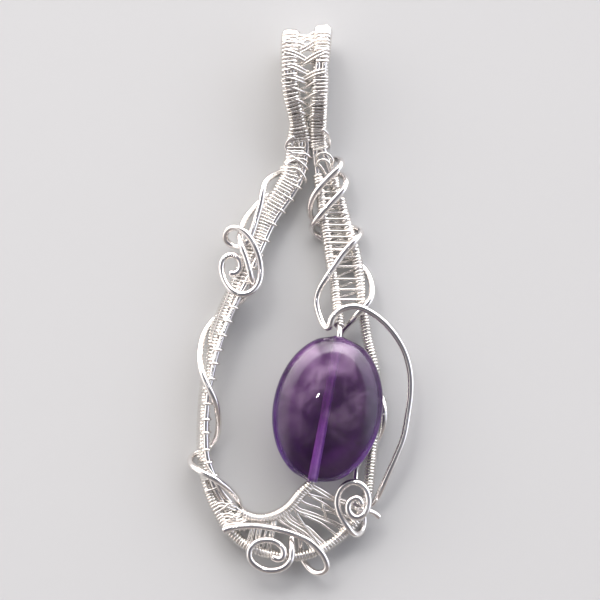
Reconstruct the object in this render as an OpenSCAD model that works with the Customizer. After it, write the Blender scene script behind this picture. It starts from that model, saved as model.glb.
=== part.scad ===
// Wire-wrapped pear-shaped pendant: an openwork frame of round wire, bound with finer wire,
// that carries one oval bead. It lies on its back, face up: X across, Y towards the bail, Z up.

/* [Wire] */
// Diameter of the three wires that make the frame and the bail
base_wire_d = 0.8; // [0.7:0.05:0.8]
// Diameter of the wire of the scrolls, waves and the long arc
scroll_wire_d = 0.9; // [0.8:0.05:0.9]
// Diameter of the fine wire wound round the frame wires
binding_wire_d = 0.4; // [0.3:0.02:0.4]
// Diameter of the wire that binds the neck
neck_wire_d = 0.44; // [0.36:0.02:0.44]

/* [Bead] */
// Length of the bead, along its hole
bead_len = 20; // [19:0.1:20]
// Width of the bead
bead_w = 14.7; // [13.5:0.1:14.8]
// Thickness of the bead
bead_t = 6.8; // [6:0.1:6.8]
// Diameter of the hole through the length of the bead
bead_hole_d = 1.2; // [1.1:0.05:1.3]
// Lean of the bead to the right of upright, in degrees
bead_lean = 10.5; // [10.4:0.1:10.6]

/* [Hidden] */

silver = [0.86, 0.85, 0.83];
bound_silver = [0.78, 0.77, 0.75];
amethyst = [0.36, 0.22, 0.48];

// Sides of a wire, sides of a coil and rings to each step of a route
wire_sides = 6;
coil_sides = 8;
rings_per_step = 2;

// A coil is a hollow sleeve with a little air between it and the wire inside
coil_r = base_wire_d / 2 + binding_wire_d;
coil_gap = 0.025;
coil_bore_r = (base_wire_d / 2 + coil_gap) / cos(180 / coil_sides);

// Middle of the bead, and how far its hole lies left of its middle line
bead_at = [3.7, -14.4, 4.5];
hole_shift = 0.25;
bead_axis = [sin(bead_lean), cos(bead_lean), 0];
hole_mid = bead_at - [hole_shift, 0, 0];

// Distance of the middle and inner wires from the outer wire, across the left band
middle_step = base_wire_d + binding_wire_d + 0.03;
inner_step = middle_step + base_wire_d + 0.02;

// Half the distance between the two wires of each half of the bail
pair_half = base_wire_d / 2 + 0.02;

// Heights of a scroll wire that passes behind the frame, of the frame wires, and of a scroll wire over them
crossing_gap = 0.07;
under_z = scroll_wire_d / 2 + 0.05;
frame_z = under_z + scroll_wire_d / 2 + coil_r + crossing_gap;
over_z = frame_z + coil_r + scroll_wire_d / 2 + crossing_gap;
level_step = 1.15;

// Bail, left half, from its end behind the neck over the crest to the front: [x, y, z]
bail_left = [
    [-0.1, 20.3, 1.2], [-0.1, 22.0, 1.15], [-0.3, 24.4, 1.0], [-0.9, 27.6, 0.9], [-1.3, 30.6, 0.9],
    [-1.4, 33.2, 0.9], [-1.3, 35.1, 1.9], [-1.15, 35.85, 4.2], [-1.3, 35.0, 6.55], [-1.4, 32.8, 7.5],
    [-1.4, 30.2, 7.35], [-1.2, 27.6, 6.3], [-0.6, 25.4, 4.95], [-0.2, 23.6, 3.8],
];
// Bail, right half, from its end behind the neck over the crest to the front: [x, y, z]
bail_right = [
    [2.45, 20.3, 1.2], [2.45, 22.0, 1.15], [2.5, 24.4, 1.0], [2.6, 27.6, 0.9], [2.75, 30.6, 0.9],
    [2.9, 33.3, 0.9], [3.05, 35.5, 1.8], [3.1, 36.4, 4.2], [3.05, 35.5, 6.55], [2.9, 33.2, 7.5],
    [2.75, 30.6, 7.35], [2.6, 27.6, 6.3], [2.5, 25.4, 4.95], [2.45, 23.6, 3.8],
];
// Left band, down the outer wire: [x, y, z, lean of the band in degrees]
band = [
    [-1.1, 21.8, 2.75, 0], [-1.3, 19.8, 2.25, 0], [-1.7, 17.5, 1.95, 0], [-2.7, 15.7, 1.85, 0],
    [-3.9, 14.0, frame_z, 4], [-5.2, 12.0, frame_z, 8], [-6.2, 9.9, frame_z, 12], [-7.2, 7.3, frame_z, 25],
    [-8.2, 4.5, frame_z, 38], [-9.3, 1.6, frame_z, 48], [-10.6, -1.4, frame_z, 51],
    [-11.6, -4.2, frame_z, 53], [-12.3, -6.9, frame_z, 58], [-12.75, -10.0, frame_z, 66],
    [-13.1, -13.5, frame_z, 71], [-13.3, -17.2, frame_z, 72], [-13.25, -20.8, frame_z, 68],
    [-12.9, -23.5, frame_z, 52], [-12.2, -26.1, frame_z, 30],
];
// Outer frame, from the foot of the band round the bottom and up the right side: [x, y, z]
outer_frame = [
    [-11.1, -28.5, frame_z], [-9.3, -31.3, frame_z], [-6.6, -33.4, frame_z], [-3.4, -34.3, frame_z],
    [-0.2, -34.5, frame_z], [3.0, -33.5, frame_z], [6.0, -31.3, frame_z], [7.95, -29.1, frame_z],
    [9.05, -26.6, frame_z], [9.4, -24.0, frame_z], [9.65, -21.3, frame_z], [9.95, -18.4, frame_z],
    [10.15, -15.2, frame_z], [10.25, -11.8, frame_z], [10.0, -8.4, frame_z], [9.2, -5.2, frame_z],
    [8.7, -2.2, frame_z], [8.3, 0.6, frame_z], [8.0, 3.5, frame_z], [7.5, 6.8, frame_z],
    [6.5, 10.1, frame_z], [5.6, 13.4, frame_z], [4.6, 16.5, 1.9], [3.6, 19.4, 2.25], [2.89, 21.8, 2.75],
];
// Inner frame, from the foot of the band to the lower end of the bead: [x, y, z]
inner_frame = [
    [-9.6, -26.9, 2.2], [-8.3, -28.3, 1.9], [-6.9, -29.1, frame_z], [-5.4, -29.4, frame_z],
    [-3.8, -29.1, 2.0], [-2.2, -28.3, 2.4], [-0.9, -27.1, 3.1], [0.0, -25.8, 3.75], [0.8, -25.0, 4.2],
];
// Inner wire above the bead, up the left side of the right arm: [x, y, z]
inner_arm = [
    [5.3, -3.3, 3.9], [5.15, -1.8, 3.0], [4.9, 0.3, 2.2], [4.7, 2.6, 1.85], [4.1, 5.6, frame_z],
    [3.7, 8.6, frame_z], [3.2, 11.8, frame_z], [2.8, 15.0, frame_z], [2.3, 18.0, 1.95], [2.05, 20.2, 2.3],
    [2.05, 21.8, 2.75],
];
// Foot of the middle wire, past the end of the band: [x, y, z]
middle_foot = [[-10.2, -27.5, frame_z], [-8.9, -29.72, frame_z - 0.1], [-7.4, -30.85, frame_z - 0.1]];

// In the tables of the scrolls a level is a height: 0 is behind the frame wires, 1 level with them, 2 over
// them, and 3 over a scroll wire that lies over them
// Scroll on the upper left, from behind the band: [x, y, level]
side_scroll_route = [
    [-1.6, 18.2, 0], [-2.6, 17.7, 0.15], [-3.9, 17.1, 0.85], [-4.7, 16.2, 1.5], [-5.0, 14.9, 1.9],
    [-5.3, 13.2, 2.1], [-5.8, 11.5, 2.1], [-6.3, 9.8, 2.05], [-7.0, 8.2, 2.05], [-8.1, 7.5, 1.75],
    [-9.1, 7.6, 1.3], [-9.9, 8.1, 1.4], [-10.2, 8.9, 1.65], [-9.8, 9.7, 2], [-9.0, 10.1, 2.35],
    [-7.95, 9.8, 2.7], [-7.0, 9.0, 2.9], [-6.2, 7.8, 2.95], [-5.6, 6.4, 2.8], [-5.3, 4.9, 2.6],
    [-5.35, 3.1, 2.6], [-6.1, 1.7, 2.8], [-7.4, 1.0, 3.05], [-8.8, 1.3, 3.05], [-9.9, 2.4, 2.7],
    [-10.5, 3.8, 2.35], [-10.6, 5.1, 2.15], [-10.1, 6.1, 2.15], [-9.2, 6.4, 2.15], [-8.35, 6.0, 2.15],
    [-7.95, 5.1, 2.2], [-8.15, 4.2, 2.25], [-8.8, 3.75, 2.3], [-9.4, 3.9, 2.35],
];
// Wave down the left side, from behind the band to behind the inner frame: [x, y, level]
wave_route = [
    [-4.1, 14.6, 0], [-5.1, 14.0, 0], [-6.1, 13.0, 0.25], [-7.3, 11.5, 0.95], [-7.9, 10.1, 1.55],
    [-8.1, 8.8, 2.25], [-7.8, 7.4, 2.85], [-7.3, 6.1, 3], [-6.9, 4.7, 3.1], [-6.55, 3.3, 2.95],
    [-6.45, 1.9, 1.75], [-7.5, 0.6, 0.6], [-8.8, -0.4, 0.05], [-10.0, -1.2, 0], [-11.2, -2.0, 0.05],
    [-12.25, -3.0, 0.25], [-13.05, -4.3, 0.85], [-13.4, -5.8, 1.55], [-13.5, -7.4, 2.15],
    [-13.3, -8.9, 2.8], [-12.8, -10.3, 3.2], [-12.1, -11.7, 3.3], [-11.4, -13.1, 3.05],
    [-11.1, -14.6, 2.45], [-11.0, -16.2, 1.65], [-11.2, -17.8, 0.85], [-11.8, -19.2, 0.25],
    [-12.8, -20.1, 0], [-14.0, -20.6, 0.1], [-14.85, -21.2, 0.7], [-14.7, -22.0, 1.75],
    [-13.7, -22.6, 2.7], [-12.4, -23.2, 3.15], [-11.0, -24.0, 3.05], [-9.7, -25.1, 2.25],
    [-8.7, -26.4, 1.2], [-8.2, -27.6, 0.35], [-8.1, -28.7, 0],
];
// Scrolls along the bottom, from a cut end on the outer frame and round the frame: [x, y, level]
foot_route = [
    [-10.3, -30.85, 1.95], [-9.7, -30.6, 2], [-8.7, -30.35, 2], [-7.2, -30.2, 2], [-5.0, -30.3, 2],
    [-2.8, -30.7, 2.1],
    [-0.7, -31.3, 2.15], [1.1, -32.1, 2.25], [2.5, -33.3, 2.25], [3.4, -34.6, 2.1], [3.7, -35.8, 1.85],
    [3.1, -36.6, 1.55], [2.0, -36.7, 1.15], [0.9, -35.9, 0.45], [0.25, -34.7, 0], [0.1, -33.4, 0.05],
    [-0.05, -32.0, 0.35], [-0.65, -31.3, 0.7], [-1.15, -32.0, 1.15], [-1.05, -33.3, 1.75],
    [-1.2, -34.7, 2], [-2.1, -35.8, 2], [-3.8, -36.3, 1.85], [-5.5, -35.9, 1.75], [-6.7, -34.8, 1.85],
    [-6.8, -33.4, 2], [-5.9, -32.4, 1.9], [-4.4, -32.1, 1.85], [-3.0, -32.5, 1.85], [-2.2, -33.4, 1.95],
    [-2.2, -34.4, 2], [-2.9, -34.8, 2], [-3.7, -34.4, 2],
];
// Long arc: a turn round the right arm, the curl above the bead, then the open arc: [x, y, level]
arc_route = [
    [3.6, 19.0, 0.15], [4.6, 19.4, 0.25], [5.4, 19.3, 1.05], [5.6, 18.6, 1.9], [5.0, 17.8, 2.3],
    [3.9, 16.8, 2.25], [2.8, 15.6, 2.15], [1.8, 14.3, 1.75], [1.38, 13.1, 1.2], [1.35, 12.0, 0.6],
    [1.85, 11.0, 0.1], [3.4, 10.5, 0], [5.7, 10.3, 0], [7.4, 10.1, 0.15], [8.3, 9.4, 1.05], [7.4, 8.3, 2],
    [6.1, 6.9, 2], [4.8, 5.1, 2.05], [3.5, 3.2, 2], [2.5, 1.5, 1.75], [2.2, 0.0, 1.65], [2.5, -1.5, 1.9],
    [3.0, -2.8, 2.25], [3.55, -3.6, 2.6], [4.1, -3.25, 2.95], [4.25, -2.3, 3.15], [5.0, -1.3, 3.2],
    [6.2, -0.7, 3.2], [7.7, -0.6, 3.15], [9.4, -1.3, 2.95], [11.3, -2.7, 2.7], [13.0, -4.7, 2.45],
    [14.2, -6.9, 2.15], [14.85, -9.4, 2], [14.95, -12.1, 1.85], [14.6, -15.0, 1.75], [14.05, -18.1, 1.75],
    [13.1, -20.6, 1.7], [12.05, -23.0, 1.55], [11.1, -25.2, 1.25], [10.45, -26.7, 0.7], [9.7, -27.7, 0.1],
    [8.7, -28.0, 0], [7.7, -27.6, 0.25], [7.25, -27.45, 0.95], [7.6, -27.75, 1.75], [8.4, -28.05, 2.05],
    [9.3, -28.2, 1.85], [10.1, -28.55, 1.5], [10.7, -29.1, 1.3],
];
// Second wire on the right arm, which runs on behind the bead and round its right edge: [x, y, level]
return_route = [
    [4.7, 17.6, 0], [5.8, 17.2, 0.6], [6.3, 16.3, 1.5], [5.9, 15.2, 2.05], [4.9, 14.1, 2.15],
    [3.6, 12.7, 2.15], [2.45, 11.4, 1.9], [1.7, 10.5, 1.3], [1.65, 9.7, 0.5], [2.6, 9.0, 0],
    [4.7, 7.6, 0], [6.9, 6.1, 0], [8.4, 4.9, 0.05], [9.4, 3.5, 0.45], [9.8, 1.9, 1.2], [9.6, 0.5, 1.85],
    [8.8, -0.6, 2.05], [7.8, -1.6, 1.9], [7.0, -2.5, 1.5], [6.2, -3.35, 1.05], [5.6, -4.2, 0.6],
    [5.45, -5.4, 0.25], [6.0, -6.9, 0.1], [7.0, -8.3, 0.15], [8.4, -9.7, 0.05], [9.7, -11.0, 0],
    [10.8, -12.4, 0.1], [11.35, -13.8, 0.6], [11.47, -15.3, 0.95], [11.3, -16.9, 0.7], [10.7, -18.5, 0.1],
    [9.75, -19.7, 0], [8.7, -20.7, 0.05], [7.95, -21.9, 0.15], [7.65, -23.2, 0.4], [7.6, -24.3, 0.7],
];
// Scroll at the lower right, hooked round the outer frame: [x, y, level]
corner_route = [
    [8.7, -29.3, 0], [8.7, -30.5, 0.25], [8.15, -31.4, 0.95], [7.3, -31.4, 1.7], [6.5, -30.4, 2.05],
    [5.7, -29.2, 2.1], [5.1, -27.8, 2.15], [5.0, -26.4, 2.25], [5.6, -25.0, 2.45], [6.8, -24.2, 2.6],
    [8.1, -24.4, 2.7], [9.0, -25.4, 2.8], [9.25, -26.9, 2.85], [8.8, -28.3, 2.9], [7.7, -29.0, 2.95],
    [6.7, -28.5, 2.95], [6.4, -27.4, 2.95], [6.8, -26.5, 2.95], [7.5, -26.2, 2.95], [8.1, -26.5, 2.95],
    [8.25, -27.1, 3.0],
];

// Neck binding, over the left arm, down between the arms, behind the right arm and up: [x, y, z]
neck_rows = [
    [-0.8, 22.3, 3.8], [-1.55, 21.85, 3.45], [-2.0, 21.15, 2.85], [-1.85, 20.5, 2.75], [-1.25, 20.15, 2.98],
    [-0.4, 20.05, 3.0], [0.4, 20.0, 3.03], [1.05, 19.9, 2.98], [1.42, 19.55, 2.45], [1.41, 19.35, 1.7],
    [1.45, 19.5, 1.0], [1.9, 20.05, 0.55], [2.8, 20.6, 0.52], [3.6, 20.85, 0.8], [4.0, 21.05, 1.6],
    [4.0, 21.5, 2.6], [3.97, 22.1, 3.5], [3.65, 22.75, 4.35], [3.0, 23.15, 4.75],
];

function unit(v) = v / norm(v);
function across(v, t) = unit(v - (v * t) * t);
function last(a) = len(a) - 1;
function backwards(a) = [for (i = [last(a):-1:0]) a[i]];
function shifted(a, v) = [for (p = a) p + v];
function place(row) = [row[0], row[1], row[2]];
function height(level) =
    level < 1 ? under_z + level * (frame_z - under_z)
    : level < 2 ? frame_z + (level - 1) * (over_z - frame_z)
    : over_z + (level - 2) * level_step;
function raised(rows) = [for (row = rows) [row[0], row[1], height(row[2])]];

// A smooth route through the rows of a table, with steps points to each row
function curve_point(p0, p1, p2, p3, t) =
    0.5 * (2 * p1 + (p2 - p0) * t + (2 * p0 - 5 * p1 + 4 * p2 - p3) * t * t
           + (3 * p1 - p0 - 3 * p2 + p3) * t * t * t);
function smooth(a, steps = rings_per_step) = [
    for (i = [0:last(a) - 1]) for (k = [0:steps - 1])
        curve_point(a[max(i - 1, 0)], a[i], a[i + 1], a[min(i + 2, last(a))], k / steps),
    a[last(a)],
];

// Direction of a route at each point, and a direction square to it that never twists
function headings(p) = [for (i = [0:last(p)]) unit(p[min(i + 1, last(p))] - p[max(i - 1, 0)])];
function sideways(t, start) = [
    for (i = 0, s = across(start, t[0]); i < len(t); i = i + 1, s = across(s, t[min(i, last(t))])) s
];

// Rings of points round a span [first, last] of a route: profile has [sideways, upwards] places
function whole(p) = [0, last(p)];
function rings(p, span, profile, start) =
    let (t = headings(p), s = sideways(t, start))
    [for (i = [span[0]:span[1]]) let (u = cross(t[i], s[i])) for (q = profile) p[i] + q[0] * s[i] + q[1] * u];
function round_profile(r, sides) = [for (j = [0:sides - 1]) r * [cos(360 * j / sides), sin(360 * j / sides)]];
// A profile round two wires side by side
function pair_profile(r, half) = [
    for (end = [1, -1]) for (j = [-2:2]) [end * (half + r * cos(45 * j)), end * r * sin(45 * j)]
];

function skin(n, k, base, out) = [
    for (i = [0:n - 2]) for (j = [0:k - 1])
        let (a = base + i * k + j, b = base + i * k + (j + 1) % k)
        each (out ? [[a, b + k, b], [a, a + k, b + k]] : [[a, b, b + k], [a, b + k, a + k]])
];
function end_ring(k, at, at_bore, out) = [
    for (j = [0:k - 1])
        let (a = at + j, b = at + (j + 1) % k, c = at_bore + (j + 1) % k, d = at_bore + j)
        out ? [a, b, c, d] : [d, c, b, a]
];

// A solid wire along a route
module wire(route, d, start = [0, 0, 1]) {
    n = len(route);
    k = wire_sides;
    polyhedron(
        rings(route, whole(route), round_profile(d / 2, k), start),
        concat(skin(n, k, 0, true), [[for (j = [0:k - 1]) j], [for (j = [k - 1:-1:0]) (n - 1) * k + j]]),
        convexity = 10);
}

// A hollow sleeve along a span of a route, between an outer profile and a bore profile
module sleeve(route, span, profile, bore_profile, start) {
    n = span[1] - span[0] + 1;
    k = len(profile);
    polyhedron(
        concat(rings(route, span, profile, start), rings(route, span, bore_profile, start)),
        concat(skin(n, k, 0, true), skin(n, k, n * k, false),
               end_ring(k, 0, n * k, true), end_ring(k, (n - 1) * k, (2 * n - 1) * k, false)),
        convexity = 10);
}

module coil(route, first_row, last_row) {
    sleeve(route, rings_per_step * [first_row, last_row],
           round_profile(coil_r, coil_sides), round_profile(coil_bore_r, coil_sides), [0, 0, 1]);
}

module pair_coil(route, span) {
    sleeve(route, span, pair_profile(coil_r, pair_half), pair_profile(coil_bore_r, pair_half), [1, 0, 0]);
}

// Points of a wire of the band, a distance across it from the outer wire
function band_heading(i) = unit(place(band[min(i + 1, last(band))]) - place(band[max(i - 1, 0)]));
function band_wire(distance) = [
    for (i = [0:last(band)])
        let (h = band_heading(i), level = unit([-h[1], h[0], 0]), rise = cross(h, level), lean = band[i][3])
        place(band[i]) + distance * (cos(lean) * level - sin(lean) * rise * sign(rise[2]) * -1)
];

// The three frame wires, from the left end of the bail to the right end
pair_offset = [pair_half, 0, 0];
hole_places = [-1.01, -0.85, -0.5, 0, 0.5, 0.85, 1.01];
hole_rows = [for (share = hole_places) hole_mid + share * bead_len / 2 * bead_axis];
outer_rows = concat(shifted(bail_left, -pair_offset), band_wire(0), outer_frame,
                    backwards(shifted(bail_right, pair_offset)));
inner_rows = concat(shifted(bail_left, pair_offset), band_wire(inner_step), inner_frame,
                    hole_rows, inner_arm, backwards(shifted(bail_right, -pair_offset)));
outer_route = smooth(outer_rows);
inner_route = smooth(inner_rows);

// Row numbers where the parts of each wire begin
band_row = len(bail_left);
frame_row = band_row + len(band);
bead_row = frame_row + len(inner_frame);
inner_arm_row = bead_row + len(hole_rows);
outer_bail_row = frame_row + len(outer_frame);
inner_bail_row = inner_arm_row + len(inner_arm);

module bead() {
    color(amethyst)
    difference() {
        translate(bead_at) rotate([0, 0, -bead_lean])
            scale([bead_w, bead_len, bead_t] / 2) sphere(r = 1, $fn = 64);
        translate(hole_mid) rotate([0, 0, -bead_lean]) rotate([90, 0, 0])
            cylinder(d = bead_hole_d, h = bead_len + 2, center = true, $fn = 32);
    }
}

module outer_wire() { color(silver) wire(outer_route, base_wire_d); }
module middle_wire() { color(silver) wire(smooth(concat(band_wire(middle_step), middle_foot)), base_wire_d); }
module inner_wire() { color(silver) wire(inner_route, base_wire_d); }

module left_coil() { color(bound_silver) coil(outer_route, band_row + 2, frame_row); }
module frame_coil() { color(bound_silver) coil(outer_route, frame_row + 0.5, outer_bail_row - 2.5); }
module inner_coil() { color(bound_silver) coil(inner_route, frame_row + 1, bead_row - 0.5); }
module arm_coil() { color(bound_silver) coil(inner_route, inner_arm_row, inner_bail_row - 3); }

// The route midway between the two wires of a half of the bail, from a row of each
function midway(outer_row, inner_row, rows) = [
    for (i = [0:rings_per_step * rows])
        (outer_route[rings_per_step * outer_row + i] + inner_route[rings_per_step * inner_row + i]) / 2
];
module bail_coil_left() {
    color(bound_silver)
    pair_coil(midway(0, 0, band_row), [rings_per_step, rings_per_step * (band_row - 1) - 1]);
}
module bail_coil_right() {
    color(bound_silver)
    pair_coil(midway(outer_bail_row - 1, inner_bail_row - 1, len(bail_right)),
              [rings_per_step, rings_per_step * (len(bail_right) - 1)]);
}

module neck_wrap() { color(silver) wire(smooth(neck_rows), neck_wire_d, [0, 1, 0]); }

module side_scroll() { color(silver) wire(smooth(raised(side_scroll_route)), scroll_wire_d); }
module wave_wire() { color(silver) wire(smooth(raised(wave_route)), scroll_wire_d); }
module foot_scroll() { color(silver) wire(smooth(raised(foot_route)), scroll_wire_d); }
module arc_wire() { color(silver) wire(smooth(raised(arc_route)), scroll_wire_d); }
module return_wire() { color(silver) wire(smooth(raised(return_route)), scroll_wire_d); }
module corner_scroll() { color(silver) wire(smooth(raised(corner_route)), scroll_wire_d); }

bead();
outer_wire();
middle_wire();
inner_wire();
left_coil();
frame_coil();
inner_coil();
arm_coil();
bail_coil_left();
bail_coil_right();
neck_wrap();
side_scroll();
wave_wire();
foot_scroll();
arc_wire();
return_wire();
corner_scroll();
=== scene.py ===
"""Dressed scene of a wire-wrapped pendant: bright silver wire, wound with finer wire, and an oval
amethyst bead. It lies on its back: X across, Y towards the bail, Z up. Tables are in millimetres."""
import math

import bpy
import numpy as np
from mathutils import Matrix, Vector


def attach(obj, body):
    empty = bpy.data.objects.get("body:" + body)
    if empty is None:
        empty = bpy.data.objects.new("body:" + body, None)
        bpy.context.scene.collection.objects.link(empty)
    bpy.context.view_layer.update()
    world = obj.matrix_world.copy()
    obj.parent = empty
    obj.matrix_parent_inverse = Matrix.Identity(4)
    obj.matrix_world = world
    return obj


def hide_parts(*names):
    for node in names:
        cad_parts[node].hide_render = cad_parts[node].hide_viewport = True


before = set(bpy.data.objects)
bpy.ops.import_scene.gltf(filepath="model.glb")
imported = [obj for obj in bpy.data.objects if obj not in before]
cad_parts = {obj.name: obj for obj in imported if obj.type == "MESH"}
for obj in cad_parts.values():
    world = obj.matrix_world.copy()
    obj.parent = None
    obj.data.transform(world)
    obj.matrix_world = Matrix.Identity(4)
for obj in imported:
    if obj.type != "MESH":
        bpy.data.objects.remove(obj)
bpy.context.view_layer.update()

MM = 0.001
STEP = 0.2                     # distance between the points of a route
SOFTENING = 8                  # passes that ease a route's bends

BASE_R = 0.4                   # frame wires
SCROLL_R = 0.45                # scrolls, waves and the long arc
FINE_R = 0.2                   # fine wire that is wound round the others
NECK_R = 0.22                  # wire that binds the neck
WOUND_R = BASE_R + FINE_R      # middle of a fine wire that is wound round a frame wire
PAIR_HALF = BASE_R + 0.02      # half the distance between the two wires of each half of the bail
MIDDLE_STEP = 1.23             # distance of the middle and inner wires from the outer one, across the band
INNER_STEP = 2.05

BASE_SIDES, SCROLL_SIDES, NECK_SIDES, WOUND_SIDES, STRAND_SIDES = 14, 16, 10, 6, 8
SINGLE_TURN, PAIR_TURN, BAND_TURN = 14, 24, 26    # points to a turn round one wire, two wires and the band

UNDER_Z = 0.5                  # a scroll wire behind the frame
FRAME_Z = 1.82                 # the frame wires
OVER_Z = 3.14                  # a scroll wire over the frame
LEVEL_STEP = 1.15              # each further level

BEAD_AT = (3.7, -14.4, 4.5)
BEAD_HALF = (7.35, 10.0, 3.4)
BEAD_LEAN = math.radians(10.5)
HOLE_R = 0.6
HOLE_SHIFT = 0.25              # how far the hole lies left of the bead's middle line

# Bail, left half, from its end behind the neck over the crest to the front: (x, y, z)
BAIL_LEFT = [
    (-0.1, 20.3, 1.2), (-0.1, 22.0, 1.15), (-0.3, 24.4, 1.0), (-0.9, 27.6, 0.9), (-1.3, 30.6, 0.9),
    (-1.4, 33.2, 0.9), (-1.3, 35.1, 1.9), (-1.15, 35.85, 4.2), (-1.3, 35.0, 6.55), (-1.4, 32.8, 7.5),
    (-1.4, 30.2, 7.35), (-1.2, 27.6, 6.3), (-0.6, 25.4, 4.95), (-0.2, 23.6, 3.8),
]
# Bail, right half, from its end behind the neck over the crest to the front: (x, y, z)
BAIL_RIGHT = [
    (2.45, 20.3, 1.2), (2.45, 22.0, 1.15), (2.5, 24.4, 1.0), (2.6, 27.6, 0.9), (2.75, 30.6, 0.9),
    (2.9, 33.3, 0.9), (3.05, 35.5, 1.8), (3.1, 36.4, 4.2), (3.05, 35.5, 6.55), (2.9, 33.2, 7.5),
    (2.75, 30.6, 7.35), (2.6, 27.6, 6.3), (2.5, 25.4, 4.95), (2.45, 23.6, 3.8),
]
# Left band, down the outer wire: (x, y, z, lean of the band in degrees)
BAND = [
    (-1.1, 21.8, 2.75, 0), (-1.3, 19.8, 2.25, 0), (-1.7, 17.5, 1.95, 0), (-2.7, 15.7, 1.85, 0),
    (-3.9, 14.0, FRAME_Z, 4), (-5.2, 12.0, FRAME_Z, 8), (-6.2, 9.9, FRAME_Z, 12), (-7.2, 7.3, FRAME_Z, 25),
    (-8.2, 4.5, FRAME_Z, 38), (-9.3, 1.6, FRAME_Z, 48), (-10.6, -1.4, FRAME_Z, 51),
    (-11.6, -4.2, FRAME_Z, 53), (-12.3, -6.9, FRAME_Z, 58), (-12.75, -10.0, FRAME_Z, 66),
    (-13.1, -13.5, FRAME_Z, 71), (-13.3, -17.2, FRAME_Z, 72), (-13.25, -20.8, FRAME_Z, 68),
    (-12.9, -23.5, FRAME_Z, 52), (-12.2, -26.1, FRAME_Z, 30),
]
# Outer frame, from the foot of the band round the bottom and up the right side: (x, y, z)
OUTER_FRAME = [
    (-11.1, -28.5, FRAME_Z), (-9.3, -31.3, FRAME_Z), (-6.6, -33.4, FRAME_Z), (-3.4, -34.3, FRAME_Z),
    (-0.2, -34.5, FRAME_Z), (3.0, -33.5, FRAME_Z), (6.0, -31.3, FRAME_Z), (7.95, -29.1, FRAME_Z),
    (9.05, -26.6, FRAME_Z), (9.4, -24.0, FRAME_Z), (9.65, -21.3, FRAME_Z), (9.95, -18.4, FRAME_Z),
    (10.15, -15.2, FRAME_Z), (10.25, -11.8, FRAME_Z), (10.0, -8.4, FRAME_Z), (9.2, -5.2, FRAME_Z),
    (8.7, -2.2, FRAME_Z), (8.3, 0.6, FRAME_Z), (8.0, 3.5, FRAME_Z), (7.5, 6.8, FRAME_Z),
    (6.5, 10.1, FRAME_Z), (5.6, 13.4, FRAME_Z), (4.6, 16.5, 1.9), (3.6, 19.4, 2.25), (2.89, 21.8, 2.75),
]
# Inner frame, from the foot of the band to the lower end of the bead: (x, y, z)
INNER_FRAME = [
    (-9.6, -26.9, 2.2), (-8.3, -28.3, 1.9), (-6.9, -29.1, FRAME_Z), (-5.4, -29.4, FRAME_Z),
    (-3.8, -29.1, 2.0), (-2.2, -28.3, 2.4), (-0.9, -27.1, 3.1), (0.0, -25.8, 3.75), (0.8, -25.0, 4.2),
]
# Inner wire above the bead, up the left side of the right arm: (x, y, z)
INNER_ARM = [
    (5.3, -3.3, 3.9), (5.15, -1.8, 3.0), (4.9, 0.3, 2.2), (4.7, 2.6, 1.85), (4.1, 5.6, FRAME_Z),
    (3.7, 8.6, FRAME_Z), (3.2, 11.8, FRAME_Z), (2.8, 15.0, FRAME_Z), (2.3, 18.0, 1.95), (2.05, 20.2, 2.3),
    (2.05, 21.8, 2.75),
]
# Foot of the middle wire, past the end of the band: (x, y, z)
MIDDLE_FOOT = [(-10.2, -27.5, FRAME_Z), (-8.9, -29.72, FRAME_Z - 0.1), (-7.4, -30.85, FRAME_Z - 0.1)]

# In the tables of the scrolls a level is a height: 0 is behind the frame wires, 1 level with them, 2 over
# them, and 3 over a scroll wire that lies over them.
# Scroll on the upper left, from behind the band: (x, y, level)
SIDE_SCROLL = [
    (-1.6, 18.2, 0), (-2.6, 17.7, 0.15), (-3.9, 17.1, 0.85), (-4.7, 16.2, 1.5), (-5.0, 14.9, 1.9),
    (-5.3, 13.2, 2.1), (-5.8, 11.5, 2.1), (-6.3, 9.8, 2.05), (-7.0, 8.2, 2.05), (-8.1, 7.5, 1.75),
    (-9.1, 7.6, 1.3), (-9.9, 8.1, 1.4), (-10.2, 8.9, 1.65), (-9.8, 9.7, 2), (-9.0, 10.1, 2.35),
    (-7.95, 9.8, 2.7), (-7.0, 9.0, 2.9), (-6.2, 7.8, 2.95), (-5.6, 6.4, 2.8), (-5.3, 4.9, 2.6),
    (-5.35, 3.1, 2.6), (-6.1, 1.7, 2.8), (-7.4, 1.0, 3.05), (-8.8, 1.3, 3.05), (-9.9, 2.4, 2.7),
    (-10.5, 3.8, 2.35), (-10.6, 5.1, 2.15), (-10.1, 6.1, 2.15), (-9.2, 6.4, 2.15), (-8.35, 6.0, 2.15),
    (-7.95, 5.1, 2.2), (-8.15, 4.2, 2.25), (-8.8, 3.75, 2.3), (-9.4, 3.9, 2.35),
]
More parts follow.
